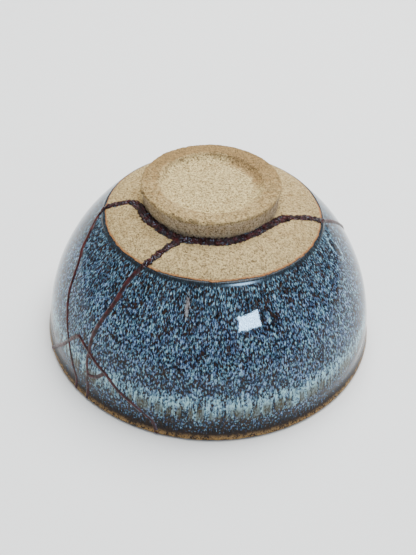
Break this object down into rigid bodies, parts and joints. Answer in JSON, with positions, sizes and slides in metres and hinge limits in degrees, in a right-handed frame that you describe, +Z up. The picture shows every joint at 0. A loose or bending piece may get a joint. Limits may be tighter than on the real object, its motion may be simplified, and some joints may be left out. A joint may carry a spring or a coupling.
{
  "type": "tea bowl",
  "caption": "Stoneware tea bowl, mottled blue and brown tenmoku glaze over a bare clay foot, broken and mended with dark lacquer, standing upside down on its lip.",
  "frame": {"origin": "centre of the lip's circle, on the surface that the bowl stands on", "axes": "+Z up out of the foot, along the bowl's axis; -Y towards the side with the fork of joints to its left"},
  "size_m": [0.1218, 0.122, 0.0625],
  "materials": {
    "glazed_stoneware": "glossy tenmoku glaze, streaked and dotted pale blue on navy and brown, over sandy unglazed clay at the shoulder and foot",
    "lacquer": "dark maroon-brown lacquer, satin, a little rough"
  },
  "bodies": {
    "root": {"sherd_main": "glazed_stoneware", "sherd_front": "glazed_stoneware", "sherd_left": "glazed_stoneware", "sherd_rim_left": "glazed_stoneware", "sherd_rim_fork": "glazed_stoneware", "sherd_rim_front": "glazed_stoneware", "sherd_triangle": "glazed_stoneware", "lacquer": "lacquer"}
  },
  "joints": []
}
